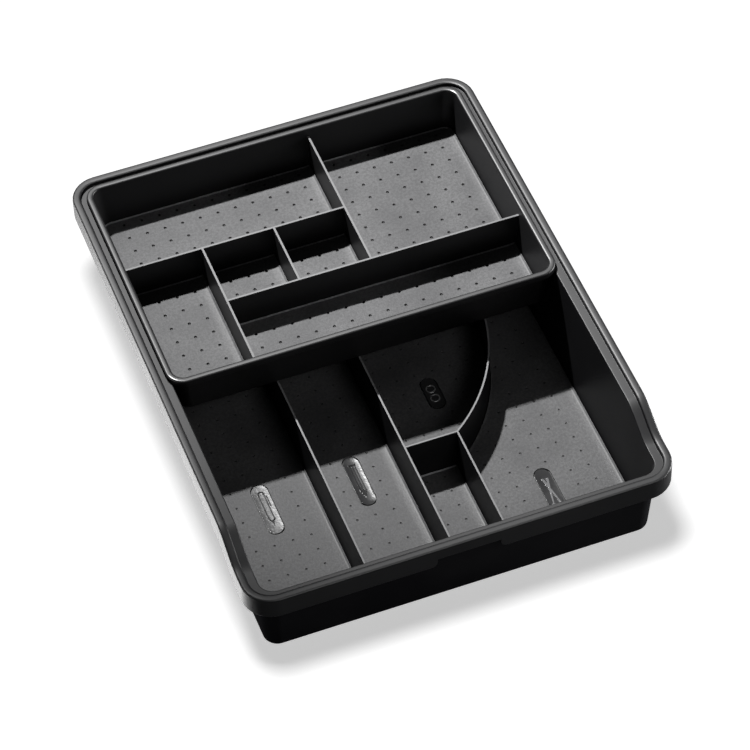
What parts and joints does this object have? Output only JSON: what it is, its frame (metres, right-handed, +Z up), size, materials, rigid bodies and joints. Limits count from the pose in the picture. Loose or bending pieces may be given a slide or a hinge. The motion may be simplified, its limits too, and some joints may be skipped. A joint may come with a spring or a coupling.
{
  "type": "drawer organizer insert",
  "caption": "Two-level drawer organizer: a divided base tray with soft grip mats, and a shallower divided tray that slides along the base's rim.",
  "frame": {"origin": "middle of the footprint, in the plane of the undersides of the feet", "axes": "+X to the organizer's right, +Y to the back, where the sliding tray rests, and +Z up"},
  "size_m": [0.29, 0.378, 0.08],
  "materials": {
    "tray_plastic": "satin",
    "grip_mat": "soft matt",
    "icon_plate": "gloss",
    "foot_rubber": "matt"
  },
  "bodies": {
    "base": {"base_tray": "tray_plastic", "base_mat_left": "grip_mat", "base_mat_centre": "grip_mat", "base_mat_small": "grip_mat", "base_mat_round": "grip_mat", "base_mat_right": "grip_mat", "icon_plate_pen": "icon_plate", "icon_plate_pencil": "icon_plate", "icon_plate_rings": "icon_plate", "icon_plate_scissors": "icon_plate", "foot_front_left": "foot_rubber", "foot_front_right": "foot_rubber", "foot_back_left": "foot_rubber", "foot_back_right": "foot_rubber"},
    "upper_tray": {"sliding_tray": "tray_plastic", "tray_mat_back_left": "grip_mat", "tray_mat_back_right": "grip_mat", "tray_mat_front_left": "grip_mat", "tray_mat_square_left": "grip_mat", "tray_mat_square_right": "grip_mat", "tray_mat_front_strip": "grip_mat"}
  },
  "joints": [
    {"name": "tray_slide", "type": "slide", "parent": "base", "child": "upper_tray", "axis": [0, -1, 0], "range_m": [0, 0.165]}
  ]
}
